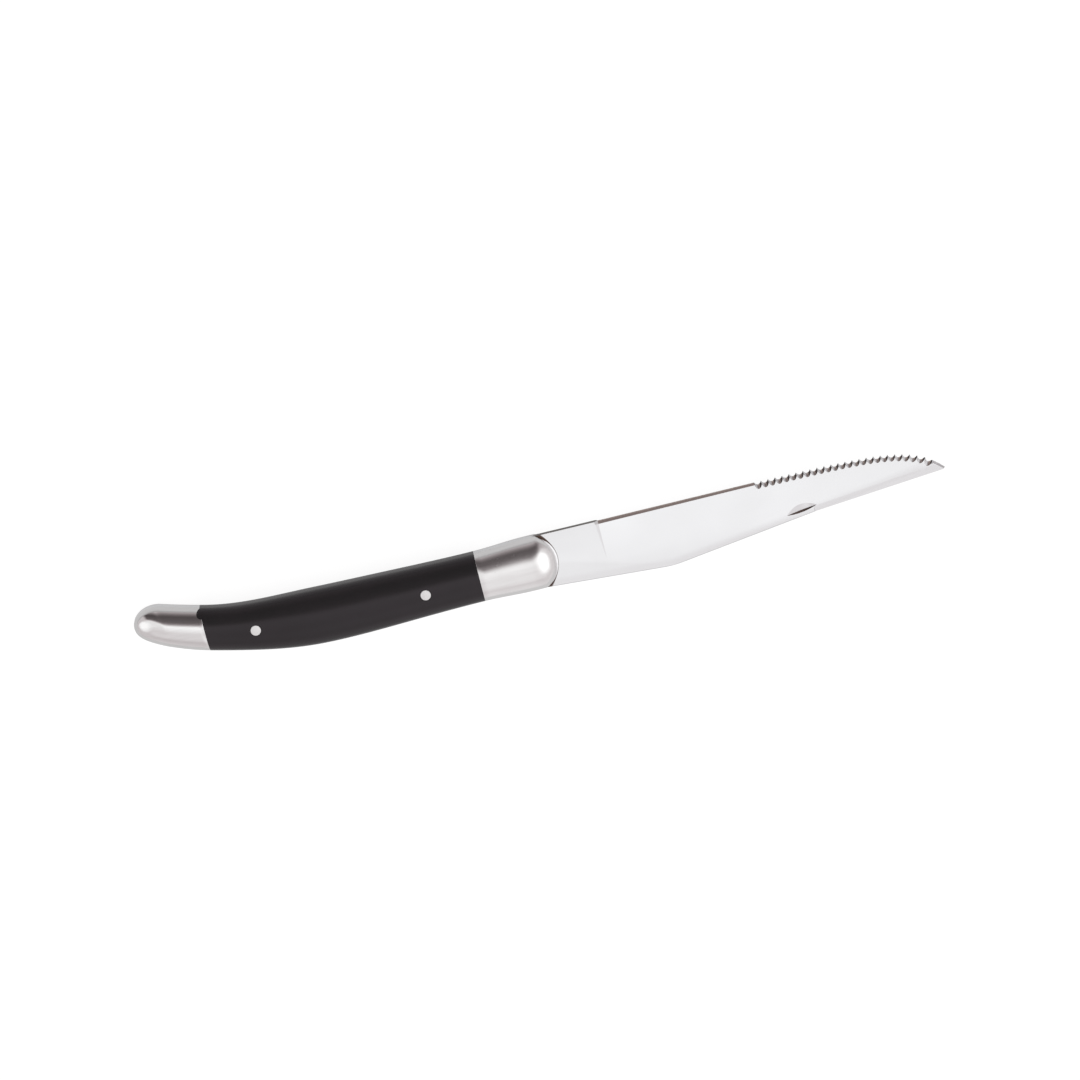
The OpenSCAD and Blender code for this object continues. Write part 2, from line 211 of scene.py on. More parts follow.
def light_tent():
    """The world: white to the camera, and to all else the light that the tent gives off.

    A panel's place is how far, in degrees, a direction leans from straight up to the cutting
    edge's side. A soft box is its direction, its half width in degrees and its light.
    """
    world = bpy.data.worlds.new("light_tent")
    bpy.context.scene.world = world
    world.use_nodes = True
    tent = Finish(world.node_tree)
    direction = tent.node("ShaderNodeTexCoord", {}, {}, "Generated")
    along, across, up = tent.axes(direction)
    turn = 0.5 + across.math("ARCTAN2", across, up) * (1 / math.tau)
    to_butt = (-1 * along).at_least(0.0)
    to_point = along.at_least(0.0)
    taper = to_butt * (OPENING_TAPER[0] / 360) + to_point * to_point * (OPENING_TAPER[1] / 360)
    turn = (turn - taper).at_least(turn.at_most(0.5 + OPENING_EDGE / 360))
    levels = [(0.5 + lean / 360, level) for lean, level in TENT_PANELS]
    panels = tent.node("ShaderNodeValToRGB", {"stops": levels}, {"Fac": turn}, "Color") * TENT_LIGHT
    inside = tent.step(along, *BUTT_END) * (1 - tent.step(along, *POINT_END))
    light = END_LIGHT + inside * (panels - END_LIGHT)
    light = light * (1 - BUTT_END_SHADE * tent.step(-1 * along, *BUTT_END_REACH))
    light = light * (1 - POINT_END_SHADE * tent.step(along, *POINT_END_REACH))
    for middle, half_width, glow in (POINT_BOX, BUTT_BOX):
        facing = tent.node(
            "ShaderNodeVectorMath", {"operation": "DOT_PRODUCT"},
            {0: direction, 1: middle.normalized()}, "Value",
        )
        edge = math.cos(math.radians(half_width + BOX_EDGE))
        lit = tent.step(facing, edge, math.cos(math.radians(half_width - BOX_EDGE)))
        light = light + lit * (glow - light)
    seen = tent.node("ShaderNodeLightPath", {}, {}, "Is Camera Ray")
    light = light + seen * (1 - light)
    tint = colour_mix(tent, light.at_most(1.0), ROOM_TINT, WHITE)
    lamp = tent.node("ShaderNodeBackground", {}, {"Color": tint, "Strength": light}, "Background")
    tent.node("ShaderNodeOutputWorld", {}, {"Surface": lamp})


def place_camera():
    """The camera, leaning to the cutting edge and rolled so that the knife runs up to the right."""
    back = Vector((0, math.sin(CAMERA_TILT), math.cos(CAMERA_TILT)))
    level = Vector((0, math.cos(CAMERA_TILT), -math.sin(CAMERA_TILT)))
    ahead = Vector((1, 0, 0))
    right = ahead * math.cos(CAMERA_ROLL) - level * math.sin(CAMERA_ROLL)
    upward = ahead * math.sin(CAMERA_ROLL) + level * math.cos(CAMERA_ROLL)
    turn = Matrix((right, upward, back)).transposed().to_4x4()
    camera = bpy.data.objects.new("camera", bpy.data.cameras.new("camera"))
    bpy.context.collection.objects.link(camera)
    camera.data.angle = CAMERA_FIELD
    camera.matrix_world = Matrix.Translation(CAMERA_AIM + back * CAMERA_DISTANCE) @ turn
    bpy.context.scene.camera = camera


bpy.context.scene.view_settings.view_transform = "Standard"
bpy.ops.object.select_all(action="DESELECT")
bpy.ops.mesh.primitive_plane_add(size=TABLE_WIDTH, location=(0, 0, 0))
table = bpy.context.object
table.name = "table"
table.data.materials.append(white_table())
light_tent()
place_camera()


# Blade: one plate of stainless steel, blanked to its outline, then ground thinner on both
# sides from the plunge line on, and on the left side alone along the edge and in its scallops.
# The flats have a fine satin polish. The blanked edges of the plate stay dull, and their colour is
# painted dark as painted shade.
BLADE_STEEL = (0.832, 0.832, 0.845, 1)
# Blanked edges: dull steel, with the colour painted darker still as painted shade.
BLANKED_AND_SHADED_STEEL = (0.17, 0.15, 0.14, 1)
HONED_STEEL = (0.79, 0.69, 0.64, 1)
# Painted shade: the near-black colour of the scallops' flanks that face the butt.
FLANK_SHADE_STEEL = (0.10, 0.085, 0.08, 1)
# Painted shade: the dark brown of the nail nick's steep wall.
NICK_WALL_SHADE = (0.24, 0.19, 0.17, 1)
# Painted shade: the dark ring on the plate round the foot of the bolsters' nose.
SEAM_SHADE = (0.085, 0.055, 0.045, 1)
FINE_GRINDING = (9000, 160, 160)
COARSE_GRINDING = (1500, 60, 60)
BLADE_SMEARS = (55, 90, 90)
FINE_GRINDING_SHARE = 0.6
BLADE_ROUGHNESS = 0.16

MIDDLE_Z = (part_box("blade")[0].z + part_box("blade")[1].z) / 2
AXIS_Y = (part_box("front_bolster_left")[0].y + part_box("front_bolster_left")[1].y) / 2
POINT_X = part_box("blade")[1].x
NOSE_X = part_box("front_bolster_left")[1].x
NOSE_LENGTH = 7.9 * MM
NOSE_ROOT_X = NOSE_X - NOSE_LENGTH
DOME_HALF_HEIGHT = 8.15 * MM
HEEL_X = NOSE_X + 13.3 * MM
SCALLOPS_START_X = HEEL_X + 44.8 * MM
NICK_END_X = HEEL_X + 61 * MM
SPINE_TURN_REACH = 38.9 * MM
SPINE_ROOT_RISE = 7.5 * MM
SPINE_TURN_RISE = 10.5 * MM
ROOT_SLOPE = (SPINE_ROOT_RISE - SPINE_TURN_RISE) / SPINE_TURN_REACH
POINT_SLOPE = 5.35 / 42
SPINE_LINES = (
    (NOSE_ROOT_X, AXIS_Y - SPINE_ROOT_RISE, ROOT_SLOPE),
    (NOSE_ROOT_X + SPINE_TURN_REACH, AXIS_Y - SPINE_TURN_RISE, POINT_SLOPE),
)
SPINE_ROUNDING = 2.5 * MM
SPINE_FALL = 0.1 * MM

# How far a surface leans, as its normal's part along an axis, where each look sets in.
FLAT_LEAN = (0.25, 0.5)
HONED_LEAN = (0.2, 0.35)
REAR_FLANK_LEAN = (0, 0.25)
FRONT_FLANK_LEAN = (0.17, 0.38)
NICK_WALL_LEAN = (0.3, 0.5)
LOOK_EDGE = 0.1 * MM
NICK_SIDE = (-2 * MM, -1 * MM)
NICK_END = (NICK_END_X, NICK_END_X + 1 * MM)
POLISHED_EDGE = (NOSE_ROOT_X + 2 * MM, NOSE_ROOT_X + 3.4 * MM)
WORN_EDGE = (MIDDLE_Z - 0.16 * MM, MIDDLE_Z - 0.04 * MM)
SEAM_WIDTH = (0.014, 0.15)
SEAM_FADE = (0.6, 1.0)

# The mesh lines that are moved, and how far.
MERGE_REACH = 0.001 * MM
FLAT_TURN = math.radians(0.2)
SMOOTH_TURN = math.radians(9.5)
HONED_LINE_X = (HEEL_X - 1 * MM, SCALLOPS_START_X + 0.03 * MM)
HONED_LINE_Y = (AXIS_Y + 5.6 * MM, AXIS_Y + 6.7 * MM)
HONED_LINE_LOW_Z = MIDDLE_Z + 0.1 * MM
HONED_NARROWING = 0.33 * MM
PLUNGE_LINE_X = (HEEL_X - 0.73 * MM, HEEL_X - 0.53 * MM)
PLUNGE_LINE_LOW_Y = AXIS_Y + 6 * MM
PLUNGE_LINE_LOW_Z = MIDDLE_Z + 0.9 * MM
PLUNGE_MOVE = 0.33 * MM
TIP_LINE_X = (POINT_X - 3.4 * MM, POINT_X - 2.2 * MM)
TIP_LINE_LOW_Z = MIDDLE_Z + 0.37 * MM
TIP_NARROWING = (0.25 * MM, 0.4 * MM)


def select_where(wanted, kind="VERT"):
    """Selects what is wanted of the mesh in edit mode: vertices, edges or faces."""
    bpy.ops.mesh.select_mode(type=kind)
    bpy.ops.mesh.select_all(action="DESELECT")
    shape = bmesh.from_edit_mesh(bpy.context.edit_object.data)
    for part in {"VERT": shape.verts, "EDGE": shape.edges, "FACE": shape.faces}[kind]:
        part.select_set(bool(wanted(part)))
    shape.select_flush_mode()
    bmesh.update_edit_mesh(bpy.context.edit_object.data)


def take_up(piece):
    """Makes piece the one that is selected and active."""
    bpy.ops.object.select_all(action="DESELECT")
    piece.select_set(True)
    bpy.context.view_layer.objects.active = piece


def noise(finish, place, scale, detail=2.0):
    """Noise between 0 and 1 on the places given, scaled by a number for each axis."""
    stretched = finish.node("ShaderNodeMapping", {}, {"Vector": place, "Scale": scale}, "Vector")
    sockets = {"Vector": stretched, "Scale": 1.0, "Detail": detail}
    return finish.node("ShaderNodeTexNoise", {}, sockets, "Fac")


def shaded(finish, colour, tone):
    """A colour made lighter or darker by the number tone."""
    settings = {"operation": "SCALE"}
    return finish.node("ShaderNodeVectorMath", settings, {0: colour, "Scale": tone}, 0)


def relief(finish, height, strength, distance, over=None):
    """The normal of a surface with a relief on it, over another normal where one is given."""
    sockets = {"Strength": strength, "Distance": distance, "Height": height}
    if over is not None:
        sockets["Normal"] = over
    return finish.node("ShaderNodeBump", {}, sockets, "Normal")


def surface(finish, sockets):
    """The shader that ends a finish."""
    shader = finish.node("ShaderNodeBsdfPrincipled", {}, sockets, "BSDF")
    finish.node("ShaderNodeOutputMaterial", {}, {"Surface": shader})


def blade_finish():
    """Satin steel with grinding lines across it and dull blanked edges; painted shade darkens the
    blanked edges, the nail nick's wall, a ring round the bolsters' nose and the scallops' flanks
    that face the butt, and painted light brightens the flanks that face the point.
    """
    material, steel = new_finish("blade_steel")
    place = steel.node("ShaderNodeTexCoord", {}, {}, "Object")
    x, y, z = steel.axes(place)
    facing = steel.node("ShaderNodeNewGeometry", {}, {}, "Normal")
    to_point, to_edge, to_side = steel.axes(facing)
    flat = abs(to_side)
    # The blanked edges are dull, and their colour is also painted dark as painted shade.
    dull = (1 - steel.step(flat, *FLAT_LEAN)) * steel.step(x, *POLISHED_EDGE)
    by_nick = (1 - steel.step(y, *NICK_SIDE)) * (1 - steel.step(x, *NICK_END))
    serrated = steel.step(x, SCALLOPS_START_X - LOOK_EDGE, SCALLOPS_START_X)
    leaning = to_edge + to_point.at_least(0.0) * serrated
    honed = steel.step(leaning, *HONED_LEAN) * (1 - dull) * (1 - by_nick)
    honed = honed * steel.step(x, HEEL_X - LOOK_EDGE, HEEL_X)
    # Painted light: the scallops' flanks that face the point keep the bright steel colour instead
    # of the honed tint.
    rear_flank_light = honed * serrated * steel.step(to_point, *REAR_FLANK_LEAN)
    # Painted shade: the scallops' flanks that face the butt are coloured near black.
    front_flank_shade = serrated * (1 - by_nick) * steel.step(-1 * to_point, *FRONT_FLANK_LEAN)
    worn = honed * (1 - steel.step(z, *WORN_EDGE))
    # Painted shade: the nail nick's steep wall is coloured dark brown.
    nick_wall_shade = steel.step(to_edge, *NICK_WALL_LEAN) * (1 - dull) * by_nick

    to_root, to_turn = [y - (x - at_x) * slope - at_y for at_x, at_y, slope in SPINE_LINES]
    from_spine = to_root.at_most(to_turn) * (1 / SPINE_ROUNDING)
    level = 1 - from_spine.at_least(0.0).at_most(1.0)
    rounding = level * level * -SPINE_FALL
    # Painted shade: a dark ring on the plate round the foot of the nose, wider at its top and
    # bottom.
    along_nose = (x - NOSE_ROOT_X) * (1 / NOSE_LENGTH)
    off_axis = (y - AXIS_Y) * (1 / DOME_HALF_HEIGHT)
    from_root = along_nose * along_nose + off_axis * off_axis
    past_nose = from_root.math("SQRT", from_root) - 1
    seam = SEAM_WIDTH[0] + SEAM_WIDTH[1] * (off_axis * off_axis) * (off_axis * off_axis)
    seam_shade = (1 - steel.step(past_nose.math("DIVIDE", past_nose, seam), *SEAM_FADE)) * flat

    fine = noise(steel, place, FINE_GRINDING)
    coarse = noise(steel, place, COARSE_GRINDING)
    smears = noise(steel, place, BLADE_SMEARS, detail=3.0)
    lines = fine * FINE_GRINDING_SHARE + coarse * (1 - FINE_GRINDING_SHARE) - 0.5

    tone = 1 - 0.06 * (smears - 0.5) + 0.05 * lines
    colour = colour_mix(steel, honed - rear_flank_light, BLADE_STEEL, HONED_STEEL)
    colour = colour_mix(steel, front_flank_shade, colour, FLANK_SHADE_STEEL)
    colour = colour_mix(steel, nick_wall_shade, colour, NICK_WALL_SHADE)
    colour = colour_mix(steel, dull, colour, BLANKED_AND_SHADED_STEEL)
    colour = shaded(steel, colour_mix(steel, seam_shade, colour, SEAM_SHADE), tone)
    rough = BLADE_ROUGHNESS + 0.1 * lines + 0.08 * (smears - 0.5)
    rough = rough + 0.25 * dull + 0.25 * honed + 0.2 * worn
    rounded = relief(steel, rounding, strength=1.0, distance=1.0)
    bumps = relief(steel, lines, strength=0.12, distance=0.004 * MM, over=rounded)
    surface(steel, {"Base Color": colour, "Metallic": 1.0, "Roughness": rough, "Normal": bumps})
    return material


def on_honed_line(vert):
    """Whether a vertex lies on the line where the plain edge's ground face begins."""
    along = HONED_LINE_X[0] < vert.co.x < HONED_LINE_X[1]
    return along and HONED_LINE_Y[0] < vert.co.y < HONED_LINE_Y[1] and vert.co.z > HONED_LINE_LOW_Z


def on_plunge_line(vert):
    """Whether a vertex is the upper corner of the plunge, where the grinding wheel came in."""
    near = PLUNGE_LINE_X[0] < vert.co.x < PLUNGE_LINE_X[1]
    return near and vert.co.y > PLUNGE_LINE_LOW_Y and vert.co.z > PLUNGE_LINE_LOW_Z


def on_tip_line(vert):
    """Whether a vertex is on the line where the ground face of the plain tip begins."""
    return TIP_LINE_X[0] < vert.co.x < TIP_LINE_X[1] and vert.co.z > TIP_LINE_LOW_Z


blade = bpy.data.objects.new("blade_plate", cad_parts["blade"].data.copy())
bpy.context.collection.objects.link(blade)
take_up(blade)
bpy.ops.mesh.customdata_custom_splitnormals_clear()
bpy.ops.object.mode_set(mode="EDIT")
bpy.ops.mesh.select_all(action="SELECT")
bpy.ops.mesh.remove_doubles(threshold=MERGE_REACH)
bpy.ops.mesh.dissolve_limited(angle_limit=FLAT_TURN)
select_where(on_honed_line)
bpy.ops.transform.translate(value=(0, HONED_NARROWING, 0))
select_where(on_plunge_line)
bpy.ops.transform.translate(value=(-PLUNGE_MOVE, 0, 0))
select_where(on_tip_line)
bpy.ops.transform.translate(value=(*TIP_NARROWING, 0))
bpy.ops.object.mode_set(mode="OBJECT")
bpy.ops.object.shade_smooth_by_angle(angle=SMOOTH_TURN)
blade.data.materials.clear()
blade.data.materials.append(blade_finish())
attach(blade, "root")
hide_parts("blade")


# Front bolsters: two pieces of stainless steel, brazed to the sides of the plate ahead of the
# scales, then turned down to a half-round nose and polished lengthwise to a soft shine.
FRONT_JOINT_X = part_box("front_bolster_left")[0].x
PLATE_TOP_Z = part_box("blade")[1].z
JOINT_HALF_HEIGHT = 6.95 * MM
NOSE_HALF_HEIGHT = 7.5 * MM
JOINT_BULGE = 5.2 * MM
NOSE_BULGE = 5.3 * MM
SECTION_SIDES = 32
SECTION_FULLNESS = 2.3
DRAWN_SIZE = 10 * MM
DRAWN_MARGIN = DRAWN_SIZE / 1000
DOWEL_HOLE_RADIUS = 1.53 * MM
DOWEL_HOLE_DEPTH = 2.7 * MM
CUTTER_FOOT_Z = 0
ROUND_FACES = 64
BOLSTER_STEPS = 8
NOSE_STEPS = 16
JOINT_SOFTENING = 0.09 * MM
JOINT_FACES = 3
SHARP_TURN = math.radians(32)
BOLSTER_STEEL = (0.84, 0.83, 0.83, 1)
BOLSTER_ROUGHNESS = 0.23
FINE_POLISH = (220, 9000, 9000)
COARSE_POLISH = (70, 1800, 1800)
POLISH_SMEARS = (160, 160, 160)
FINE_POLISH_SHARE = 0.35
POLISH_NICKS = (900, 2600, 2600)
NICKED = (0.74, 0.8)


def eased(share):
    """0 to 1 in a half wave, and level outside that."""
    return (1 - math.cos(math.pi * min(1, max(0, share)))) / 2


def between(start, end, share):
    """The value that lies a share of the way from start to end."""
    return start + (end - start) * share


def draw_half_section(name):
    """Half a section of the handle: a half circle, flat side down, its shoulders pushed out."""
    bpy.ops.object.select_all(action="DESELECT")
    bpy.ops.mesh.primitive_circle_add(
        vertices=2 * SECTION_SIDES, radius=DRAWN_SIZE, rotation=(0, math.radians(90), 0)
    )
    piece = bpy.context.object
    piece.name = name
    bpy.ops.object.transform_apply(location=True, rotation=True, scale=True)
    bpy.ops.object.mode_set(mode="EDIT")
    select_where(lambda vert: vert.co.z < -DRAWN_MARGIN)
    bpy.ops.mesh.delete(type="VERT")
    power = 2 / SECTION_FULLNESS - 1
    for step in range(1, SECTION_SIDES // 2):
        across = math.cos(math.pi * step / SECTION_SIDES)
        up = math.sin(math.pi * step / SECTION_SIDES)
        select_where(lambda vert: abs(abs(vert.co.y) - DRAWN_SIZE * across) < DRAWN_MARGIN)
        bpy.ops.transform.resize(value=(1, across**power, up**power), center_override=(0, 0, 0))
    bpy.ops.mesh.select_all(action="SELECT")
    bpy.ops.mesh.edge_face_add()
    return piece


def pull_through(stations, base_z):
    """Moves the drawn face to the first station and extrudes it through the others.

    A station is (x, centre height, half height, bulge), and base_z is the flat side's level.
    """
    x, centre, height, bulge = stations[0]
    value = (1, height / DRAWN_SIZE, bulge / DRAWN_SIZE)
    bpy.ops.transform.resize(value=value, center_override=(0, 0, 0))
    bpy.ops.transform.translate(value=(x, centre, base_z))
    for next_x, next_centre, next_height, next_bulge in stations[1:]:
        move = {"value": (next_x - x, next_centre - centre, 0)}
        bpy.ops.mesh.extrude_region_move(TRANSFORM_OT_translate=move)
        value = (1, next_height / height, next_bulge / bulge)
        bpy.ops.transform.resize(value=value, center_override=(next_x, next_centre, base_z))
        x, centre, height, bulge = next_x, next_centre, next_height, next_bulge


def close_up(end_x, end_y, end_z):
    """Draws the open end to a point and turns all faces outwards."""
    shape = bmesh.from_edit_mesh(bpy.context.edit_object.data)
    start = next(vert.co.copy() for vert in shape.verts if vert.select)
    move = {"value": (end_x - start.x, 0, 0)}
    bpy.ops.mesh.extrude_region_move(TRANSFORM_OT_translate=move)
    bpy.ops.mesh.merge(type="CENTER")
    shape = bmesh.from_edit_mesh(bpy.context.edit_object.data)
    pole = next(vert.co.copy() for vert in shape.verts if vert.select)
    bpy.ops.transform.translate(value=(end_x - pole.x, end_y - pole.y, end_z - pole.z))
    bpy.ops.mesh.select_all(action="SELECT")
    bpy.ops.mesh.normals_make_consistent(inside=False)


def cut(piece, cutter):
    """Takes the room that cutter fills out of piece."""
    take_up(piece)
    bpy.ops.object.modifier_add(type="BOOLEAN")
    piece.modifiers[-1].operation = "DIFFERENCE"
    piece.modifiers[-1].solver = "EXACT"
    piece.modifiers[-1].object = cutter
    bpy.ops.object.modifier_apply(modifier=piece.modifiers[-1].name)
    bpy.data.objects.remove(cutter)


def add_rod(name, x, y, radius, low_z, high_z):
    """A round rod that stands on end."""
    bpy.ops.object.select_all(action="DESELECT")
    bpy.ops.mesh.primitive_cylinder_add(
        vertices=ROUND_FACES, radius=radius, depth=high_z - low_z,
        location=(x, y, (low_z + high_z) / 2),
    )
    bpy.ops.object.transform_apply(location=True, rotation=True, scale=True)
    bpy.context.object.name = name
    return bpy.context.object


def cut_dowel_hole(piece, dowel):
    """Cuts the blind hole for one end of a dowel into the flat side of a bolster or cap."""
    low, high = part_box(dowel)
    hole = add_rod(
        "hole", (low.x + high.x) / 2, (low.y + high.y) / 2, DOWEL_HOLE_RADIUS,
        CUTTER_FOOT_Z, PLATE_TOP_Z + DOWEL_HOLE_DEPTH,
    )
    cut(piece, hole)


def soften_joint(joint_x, low_z, spared=(0, 0, 0)):
    """Rounds the rim of the face that meets the next piece, where both have been polished.

    The edges inside the spared round, given as (x, y, radius), stay sharp.
    """

    def on_rim(edge):
        flat = all(abs(vert.co.x - joint_x) < MERGE_REACH for vert in edge.verts)
        shown = any(vert.co.z > low_z + MERGE_REACH for vert in edge.verts)
        away = any(math.dist(vert.co[:2], spared[:2]) > spared[2] for vert in edge.verts)
        return flat and shown and away and edge.is_manifold and edge.calc_face_angle() > SHARP_TURN

    select_where(on_rim, "EDGE")
    bpy.ops.mesh.bevel(
        offset=JOINT_SOFTENING, segments=JOINT_FACES, affect="EDGES", clamp_overlap=False
    )


def finish_shape(piece, material):
    """Leaves edit mode, shades what is round as round, and gives the piece its material."""
    bpy.ops.object.mode_set(mode="OBJECT")
    take_up(piece)
    bpy.ops.object.shade_smooth_by_angle(angle=SHARP_TURN)
    piece.data.materials.clear()
    piece.data.materials.append(material)


def right_hand(left, name):
    """The other piece of a pair: a copy of the left one, turned over about the plate's middle."""
    piece = left.copy()
    piece.data = left.data.copy()
    piece.name = name
    bpy.context.collection.objects.link(piece)
    take_up(piece)
    bpy.ops.object.mode_set(mode="EDIT")
    bpy.ops.mesh.select_all(action="SELECT")
    bpy.ops.transform.resize(value=(1, 1, -1), center_override=(0, 0, MIDDLE_Z))
    bpy.ops.mesh.normals_make_consistent(inside=False)
    bpy.ops.object.mode_set(mode="OBJECT")
    return piece


def polished_steel(name, colour, roughness):
    """Stainless steel polished lengthwise: long fine lines, soft smears and tiny nicks."""
    material, steel = new_finish(name)
    place = steel.node("ShaderNodeTexCoord", {}, {}, "Object")
    fine = noise(steel, place, FINE_POLISH)
    coarse = noise(steel, place, COARSE_POLISH)
    smears = noise(steel, place, POLISH_SMEARS, detail=3.0)
    nicks = steel.step(noise(steel, place, POLISH_NICKS, detail=1.0), *NICKED)
    lines = fine * FINE_POLISH_SHARE + coarse * (1 - FINE_POLISH_SHARE) - 0.5
    tone = 1 + 0.18 * lines - 0.05 * (smears - 0.5) - 0.1 * nicks
    toned = shaded(steel, colour[:3], tone)
    rough = roughness + 0.1 * lines + 0.06 * (smears - 0.5) + 0.08 * nicks
    bumps = relief(steel, lines - 0.5 * nicks, strength=0.15, distance=0.006 * MM)
    surface(steel, {"Base Color": toned, "Metallic": 1.0, "Roughness": rough, "Normal": bumps})
    return material


def bolster_station(x):
    """The bolsters' half section at a place, which swells until the nose's dome cuts it off."""
    share = eased((x - FRONT_JOINT_X) / (NOSE_ROOT_X - FRONT_JOINT_X))
    into_nose = max(0, (x - NOSE_ROOT_X) / NOSE_LENGTH)
    left = math.sqrt(1 - into_nose**2)
    height = min(between(JOINT_HALF_HEIGHT, NOSE_HALF_HEIGHT, share), DOME_HALF_HEIGHT * left)
    return x, AXIS_Y, height, between(JOINT_BULGE, NOSE_BULGE, share) * left


bolster_places = [
    between(FRONT_JOINT_X, NOSE_ROOT_X, step / BOLSTER_STEPS) for step in range(BOLSTER_STEPS + 1)
]
bolster_places += [
    NOSE_ROOT_X + NOSE_LENGTH * math.sin(math.radians(90) * step / NOSE_STEPS)
    for step in range(1, NOSE_STEPS)
]
left_bolster = draw_half_section("left_bolster")
pull_through([bolster_station(x) for x in bolster_places], PLATE_TOP_Z)
close_up(NOSE_X, AXIS_Y, PLATE_TOP_Z)
bpy.ops.object.mode_set(mode="OBJECT")
cut_dowel_hole(left_bolster, "bolster_dowel")
bpy.ops.object.mode_set(mode="EDIT")
soften_joint(FRONT_JOINT_X, PLATE_TOP_Z)
finish_shape(left_bolster, polished_steel("bolster_steel", BOLSTER_STEEL, BOLSTER_ROUGHNESS))
right_bolster = right_hand(left_bolster, "right_bolster")
for piece, node in ((left_bolster, "front_bolster_left"), (right_bolster, "front_bolster_right")):
    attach(piece, "root")
    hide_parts(node)


# Scales: two halves of black plastic with a soft sheen, milled out for the tang and closed
# round it, glued and pinned, then polished with the steel. A round lug at the rear of each one
# keys into its end cap.
REAR_JOINT_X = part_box("end_cap_left")[1].x
BUTT_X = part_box("end_cap_left")[0].x
BEND_X = FRONT_JOINT_X - 24.7 * MM
BELLY_X = FRONT_JOINT_X - 45 * MM
BUTT_RISE = 11.8 * MM
BEND_POWER = 3
BELLY_HALF_HEIGHT = 7.8 * MM
REAR_HALF_HEIGHT = 6.3 * MM
BELLY_BULGE = 5.499 * MM
REAR_BULGE = 4.6 * MM
SCALE_STEPS = 48
SPARE = 1.5 * MM
TANG_HALF_HEIGHT = 4.6 * MM
PIN_RADIUS = 1.5 * MM
PIN_HOLE_RADIUS = 1.55 * MM
FRONT_PIN_X = FRONT_JOINT_X - 15.6 * MM
REAR_PIN_X = FRONT_JOINT_X - 63.7 * MM
LUG_RADIUS = 1.15 * MM
LUG_REACH = 1.1 * MM
LUG_RISE = 0.8
LEVEL_FACE = 0.99
BLACK_PLASTIC = (0.0258, 0.0247, 0.0254, 1)
RUBBED_PLASTIC = (0.0282, 0.0262, 0.0276, 1)
PLASTIC_TINT = (1, 0.86, 0.96, 1)
PLASTIC_IOR = 1.35
PLASTIC_ROUGHNESS = 0.2
PLASTIC_GRAIN = (5000, 5000, 5000)
PLASTIC_HAZE = (110, 200, 200)
PLASTIC_POLISH = (60, 1500, 1500)
RUBBED = (0.4, 0.7)
HAIR_SCRATCHES = (90, 5200, 5200)
HAIR_TURN = math.radians(24)
SCRATCHED = (0.76, 0.8)


def centre_line(x):
    """Height of the handle's centre line: level at first, then curving up to the butt."""
    share = max(0, (BEND_X - x) / (BEND_X - BUTT_X))
    return AXIS_Y + BUTT_RISE * share**BEND_POWER


def scale_station(x):
    """The scales' half section at a place, fullest at the belly."""
    if x > BELLY_X:
        share = eased((FRONT_JOINT_X - x) / (FRONT_JOINT_X - BELLY_X))
        height = between(JOINT_HALF_HEIGHT, BELLY_HALF_HEIGHT, share)
        return x, centre_line(x), height, between(JOINT_BULGE, BELLY_BULGE, share)
    share = eased((BELLY_X - x) / (BELLY_X - REAR_JOINT_X))
    height = between(BELLY_HALF_HEIGHT, REAR_HALF_HEIGHT, share)
    return x, centre_line(x), height, between(BELLY_BULGE, REAR_BULGE, share)


def draw_square(name):
    """A square face that looks along the knife, to be pulled through stations."""
    bpy.ops.object.select_all(action="DESELECT")
    bpy.ops.mesh.primitive_plane_add(size=2 * DRAWN_SIZE, rotation=(0, math.radians(90), 0))
    bpy.ops.object.transform_apply(location=True, rotation=True, scale=True)
    bpy.context.object.name = name
    bpy.ops.object.mode_set(mode="EDIT")
    bpy.ops.mesh.select_all(action="SELECT")
    return bpy.context.object


def close_cutter():
    """Turns the faces of the shape in edit mode outwards and leaves edit mode."""
    bpy.ops.mesh.select_all(action="SELECT")
    bpy.ops.mesh.normals_make_consistent(inside=False)
    bpy.ops.object.mode_set(mode="OBJECT")


def black_plastic():
    """Moulded plastic, polished: a soft sheen, hazy rubbed patches and a few hair scratches."""
    material, plastic = new_finish("black_plastic")
    place = plastic.node("ShaderNodeTexCoord", {}, {}, "Object")
    grain = noise(plastic, place, PLASTIC_GRAIN)
    haze = noise(plastic, place, PLASTIC_HAZE, detail=3.0)
    polish = noise(plastic, place, PLASTIC_POLISH)
    turn = {"Vector": place, "Rotation": (0, 0, HAIR_TURN)}
    turned = plastic.node("ShaderNodeMapping", {}, turn, "Vector")
    hairs = plastic.step(noise(plastic, turned, HAIR_SCRATCHES, detail=1.0), *SCRATCHED)
    colour = colour_mix(plastic, plastic.step(haze, *RUBBED), BLACK_PLASTIC, RUBBED_PLASTIC)
    rough = PLASTIC_ROUGHNESS + 0.08 * (grain - 0.5) + 0.1 * (haze - 0.5)
    rough = rough + 0.06 * (polish - 0.5) + 0.06 * hairs
    height = 0.6 * grain + 0.4 * polish - 0.5 * hairs
    bumps = relief(plastic, height, strength=0.1, distance=0.01 * MM)
    surface(plastic, {
        "Base Color": colour, "Roughness": rough, "IOR": PLASTIC_IOR,
        "Specular Tint": PLASTIC_TINT, "Normal": bumps,
    })
    return material


lug_x = REAR_JOINT_X + LUG_RADIUS - LUG_REACH
lug_y = centre_line(REAR_JOINT_X) + LUG_RISE * REAR_HALF_HEIGHT
top_z = PLATE_TOP_Z + BELLY_BULGE + SPARE
scale_end_x = REAR_JOINT_X - SPARE
scale_places = [
    between(scale_end_x, FRONT_JOINT_X, step / SCALE_STEPS) for step in range(SCALE_STEPS + 1)
]
left_scale = draw_half_section("left_scale")
pull_through([scale_station(x) for x in scale_places], PLATE_TOP_Z)
bpy.ops.mesh.select_all(action="SELECT")
bpy.ops.mesh.normals_make_consistent(inside=False)
select_where(lambda face: face.normal.z < -LEVEL_FACE, "FACE")
bpy.ops.mesh.extrude_region_move(
    TRANSFORM_OT_translate={"value": (0, 0, MIDDLE_Z - PLATE_TOP_Z)}
)
bpy.ops.object.mode_set(mode="OBJECT")

